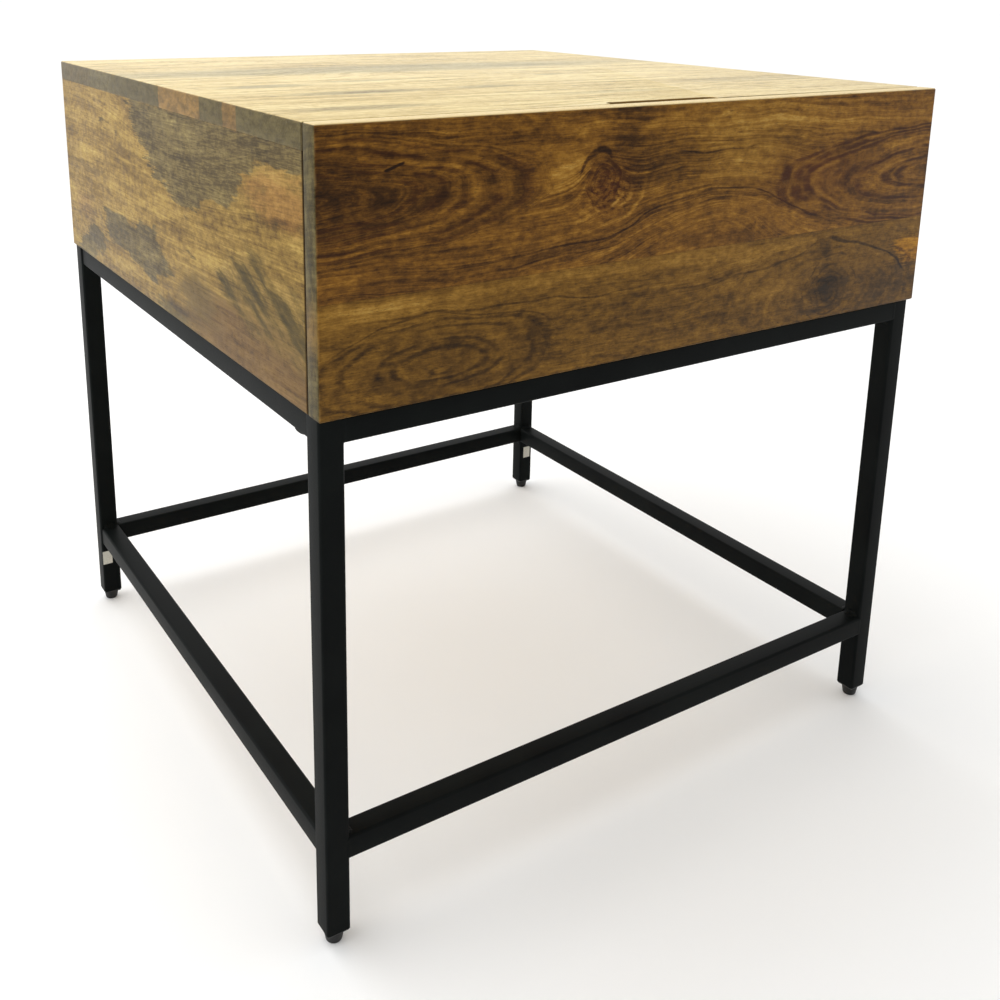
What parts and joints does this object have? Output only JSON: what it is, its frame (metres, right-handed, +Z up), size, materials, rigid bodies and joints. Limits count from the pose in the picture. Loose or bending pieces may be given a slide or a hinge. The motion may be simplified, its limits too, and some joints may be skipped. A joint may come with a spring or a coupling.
{
  "type": "side table with drawer",
  "caption": "Square wooden side table: a case with one wide full-front drawer and a finger scoop, on an open frame of black square tube with low stretchers.",
  "frame": {"origin": "centre of the footprint, at floor level under the glides", "axes": "+Z up, drawer front faces -Y, +X to the right seen from the front"},
  "size_m": [0.5, 0.5, 0.506],
  "materials": {
    "black_powder_coat": "satin powder coat",
    "black_glide_plastic": "matte",
    "label_paper": "matte blank label",
    "mango_top": "pale satin lacquer",
    "mango_case": "golden tan satin lacquer with grey streaks",
    "mango_front": "brown satin lacquer",
    "drawer_box_wood": "plain planed wood",
    "plywood": "sanded plywood",
    "black_screw_steel": "black plated",
    "zinc_plated_steel": "zinc plated"
  },
  "bodies": {
    "table": {"leg_front_left": "black_powder_coat", "leg_front_right": "black_powder_coat", "leg_rear_left": "black_powder_coat", "leg_rear_right": "black_powder_coat", "top_rail_front": "black_powder_coat", "top_rail_rear": "black_powder_coat", "top_rail_left": "black_powder_coat", "top_rail_right": "black_powder_coat", "stretcher_front": "black_powder_coat", "stretcher_rear": "black_powder_coat", "stretcher_left": "black_powder_coat", "stretcher_right": "black_powder_coat", "glide_front_left": "black_glide_plastic", "glide_front_right": "black_glide_plastic", "glide_rear_left": "black_glide_plastic", "glide_rear_right": "black_glide_plastic", "label_rear_left": "label_paper", "label_rear_right": "label_paper", "case_top": "mango_top", "case_side_left": "mango_case", "case_side_right": "mango_case", "case_back": "mango_case", "case_bottom": "plywood", "case_screw_left": "black_screw_steel", "case_screw_right": "black_screw_steel", "case_screw_rear_left": "black_screw_steel", "case_screw_rear_right": "black_screw_steel", "slide_left_cabinet_member": "zinc_plated_steel", "slide_right_cabinet_member": "zinc_plated_steel", "cabinet_slide_screw_left_front": "zinc_plated_steel", "cabinet_slide_screw_left_rear": "zinc_plated_steel", "cabinet_slide_screw_right_front": "zinc_plated_steel", "cabinet_slide_screw_right_rear": "zinc_plated_steel"},
    "drawer": {"drawer_front": "mango_front", "drawer_inner_front": "drawer_box_wood", "drawer_side_left": "drawer_box_wood", "drawer_side_right": "drawer_box_wood", "drawer_back": "drawer_box_wood", "drawer_bottom": "plywood", "front_screw_left_lower": "zinc_plated_steel", "front_screw_left_upper": "zinc_plated_steel", "front_screw_right_lower": "zinc_plated_steel", "front_screw_right_upper": "zinc_plated_steel", "slide_left_drawer_member": "zinc_plated_steel", "slide_right_drawer_member": "zinc_plated_steel", "drawer_slide_screw_left_front": "zinc_plated_steel", "drawer_slide_screw_left_rear": "zinc_plated_steel", "drawer_slide_screw_right_front": "zinc_plated_steel", "drawer_slide_screw_right_rear": "zinc_plated_steel"},
    "left_middle_slide": {"slide_left_middle_member": "zinc_plated_steel"},
    "right_middle_slide": {"slide_right_middle_member": "zinc_plated_steel"}
  },
  "joints": [
    {"name": "drawer_slide", "type": "slide", "parent": "table", "child": "drawer", "axis": [0, -1, 0], "range_m": [0, 0.38]},
    {"name": "left_middle_slide_travel", "type": "slide", "parent": "table", "child": "left_middle_slide", "axis": [0, -1, 0], "range_m": [0, 0.19]},
    {"name": "right_middle_slide_travel", "type": "slide", "parent": "table", "child": "right_middle_slide", "axis": [0, -1, 0], "range_m": [0, 0.19]}
  ],
  "couplings": [
    {"joint": "left_middle_slide_travel", "follows": "drawer_slide", "ratio": 0.5},
    {"joint": "right_middle_slide_travel", "follows": "drawer_slide", "ratio": 0.5}
  ]
}
